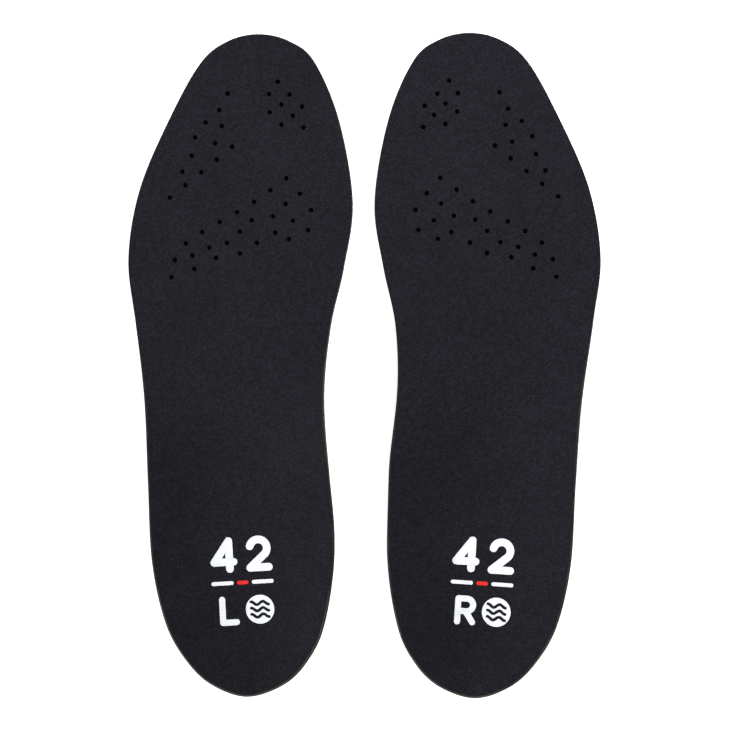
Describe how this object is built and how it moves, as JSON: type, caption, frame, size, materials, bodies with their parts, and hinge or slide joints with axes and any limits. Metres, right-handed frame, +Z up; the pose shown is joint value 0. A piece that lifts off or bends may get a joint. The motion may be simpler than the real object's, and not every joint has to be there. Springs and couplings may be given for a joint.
{
  "type": "cushioned insole pair",
  "caption": "Left and right cushioned shoe insoles with raised heel cup and arch, perforated knit cover, foam bed, support shell and soft pads.",
  "frame": {"origin": "centre of the pair's footprint, on the floor that the insoles lie on", "axes": "+X towards the right insole, +Y towards the toes, +Z up"},
  "size_m": [0.1968, 0.275, 0.0279],
  "materials": {
    "cover_fabric": "matte fine diagonal knit, black",
    "foam": "matte closed-cell polyurethane foam, black",
    "shell_plastic": "satin moulded thermoplastic, charcoal",
    "gel_pad": "satin soft elastomer, grey",
    "print_white": "matte heat-transfer film, white",
    "print_red": "matte heat-transfer film, red"
  },
  "bodies": {
    "left_insole": {"left_top_cover": "cover_fabric", "left_foam_bed": "foam", "left_support_shell": "shell_plastic", "left_heel_pad": "gel_pad", "left_forefoot_pad": "gel_pad", "left_print_digit_four": "print_white", "left_print_digit_two": "print_white", "left_print_left_bar": "print_white", "left_print_middle_bar": "print_red", "left_print_right_bar": "print_white", "left_print_side_letter": "print_white", "left_print_cushion_icon": "print_white"},
    "right_insole": {"right_top_cover": "cover_fabric", "right_foam_bed": "foam", "right_support_shell": "shell_plastic", "right_heel_pad": "gel_pad", "right_forefoot_pad": "gel_pad", "right_print_digit_four": "print_white", "right_print_digit_two": "print_white", "right_print_left_bar": "print_white", "right_print_middle_bar": "print_red", "right_print_right_bar": "print_white", "right_print_side_letter": "print_white", "right_print_cushion_icon": "print_white"}
  },
  "joints": [
    {"name": "right_insole_lift", "type": "slide", "parent": "left_insole", "child": "right_insole", "axis": [0, 0, 1], "range_m": [0, 0.12]}
  ]
}
